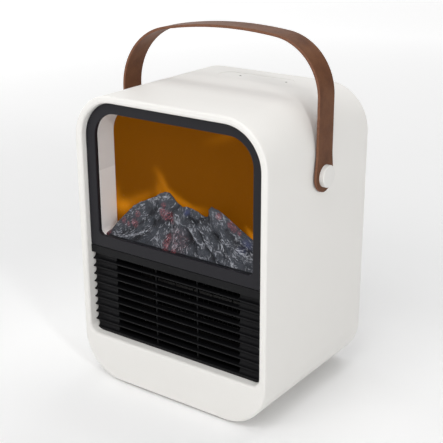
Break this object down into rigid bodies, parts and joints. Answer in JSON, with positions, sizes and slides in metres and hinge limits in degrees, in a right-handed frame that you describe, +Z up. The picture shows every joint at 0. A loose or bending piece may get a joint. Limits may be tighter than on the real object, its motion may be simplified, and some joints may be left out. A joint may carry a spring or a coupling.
{
  "type": "ceramic space heater",
  "caption": "Portable flame-effect ceramic fan heater: white rounded casing, dark-framed fire window over a louvred outlet, swinging leather strap handle.",
  "frame": {"origin": "bottom centre of the casing, on the surface that the feet stand on", "axes": "+Z up, -Y out of the fire window and the warm-air outlet, +X to the right of a person facing the front"},
  "size_m": [0.2024, 0.152, 0.3042],
  "materials": {
    "casing_white": "warm white moulded plastic with a fine, soft sheen",
    "cover_white": "warm white moulded plastic, slightly more textured than the casing",
    "panel_white": "smooth white touch surface",
    "cap_white": "smooth white moulded plastic",
    "frame_black": "satin near-black moulded plastic",
    "grille_black": "satin black moulded plastic",
    "clear_pane": "clear polished pane",
    "firebox_white": "pale grey-white lining, slightly glossy",
    "amber_screen": "smoked amber diffusing screen with a warm glow",
    "ember_rock": "dark slate-like moulding with pale flow lines and glowing embers",
    "inner_black": "black moulded nylon with a fine grain",
    "heater_frame": "heat-resistant dark moulding",
    "circuit_board": "green solder mask over a woven laminate",
    "bright_metal": "bright aluminium",
    "fin_black": "corrugated aluminium under a matt black heatproof coat",
    "duct_black": "sheet steel under a matt black heatproof coat",
    "motor_steel": "turned and brushed steel",
    "screw_steel": "zinc-plated steel",
    "heater_ceramic": "dark grey sintered ceramic",
    "brass_tab": "plain brass",
    "eyelet_brass": "dull antique brass",
    "cutout_buff": "buff phenolic moulding",
    "terminal_ivory": "ivory moulded nylon",
    "lead_red": "soft red lead insulation",
    "lead_blue": "soft blue lead insulation",
    "lead_brown": "soft brown lead insulation",
    "lens_dark": "dark indicator lens",
    "filter_mesh": "fine dark dust mesh",
    "switch_black": "glossy black nylon",
    "switch_red": "glossy red plastic",
    "foot_rubber": "matt black rubber",
    "strap_leather": "dark brown leather with a fine grain and pale tan cut edges"
  },
  "bodies": {
    "chassis": {"housing": "casing_white", "front_bezel": "frame_black", "window_pane": "clear_pane", "firebox_liner": "firebox_white", "flame_screen": "amber_screen", "ember_bed": "ember_rock", "ember_led_board": "circuit_board", "flame_mask": "inner_black", "spindle_brackets": "inner_black", "flame_motor": "motor_steel", "flame_led_board": "circuit_board", "mid_frame": "inner_black", "outlet_grille": "grille_black", "outlet_duct": "duct_black", "ptc_frame": "heater_frame", "ptc_fins": "fin_black", "ptc_stones": "heater_ceramic", "ptc_terminals": "brass_tab", "thermal_cutout": "cutout_buff", "fan_shroud": "inner_black", "fan_motor": "motor_steel", "motor_bracket": "inner_black", "heater_leads": "lead_red", "motor_leads": "lead_blue", "mains_leads": "lead_brown", "terminal_block": "terminal_ivory", "power_board": "circuit_board", "board_parts": "inner_black", "board_screws": "screw_steel", "control_board": "circuit_board", "touch_springs": "brass_tab", "control_panel": "panel_white", "indicator_lenses": "lens_dark", "rear_cover": "cover_white", "intake_filter": "filter_mesh", "rear_screws": "screw_steel", "rocker_housing": "switch_black", "cord_gland": "cover_white", "tip_switch_body": "inner_black", "tip_spring": "screw_steel", "rubber_feet": "foot_rubber", "pivot_cap_left": "cap_white", "pivot_cap_right": "cap_white", "pivot_bolts": "screw_steel", "pivot_washers": "cap_white", "pivot_nuts": "screw_steel"},
    "handle": {"strap_handle": "strap_leather", "strap_eyelets": "eyelet_brass"},
    "fan": {"fan_impeller": "inner_black", "motor_shaft": "motor_steel"},
    "flame_rotor": {"flame_spindle": "bright_metal"},
    "rocker": {"rocker_button": "switch_red"},
    "plunger": {"tip_plunger": "terminal_ivory"}
  },
  "joints": [
    {"name": "handle_swing", "type": "hinge", "parent": "chassis", "child": "handle", "pos_m": [0, 0, 0.1953], "axis": [1, 0, 0], "range_deg": [-45, 45]},
    {"name": "fan_spin", "type": "hinge", "parent": "chassis", "child": "fan", "pos_m": [0, 0, 0.076], "axis": [0, 1, 0], "continuous": true},
    {"name": "flame_spin", "type": "hinge", "parent": "chassis", "child": "flame_rotor", "pos_m": [0, -0.023, 0.152], "axis": [1, 0, 0], "continuous": true},
    {"name": "switch_rock", "type": "hinge", "parent": "chassis", "child": "rocker", "pos_m": [0.052, 0.0722, 0.024], "axis": [0, 0, 1], "range_deg": [0, 14]},
    {"name": "plunger_slide", "type": "slide", "parent": "chassis", "child": "plunger", "axis": [0, 0, 1], "range_m": [-0.003, 0.0015], "stiffness_N_per_m": 60, "springref_m": -0.006, "deforming": ["tip_spring"]}
  ]
}
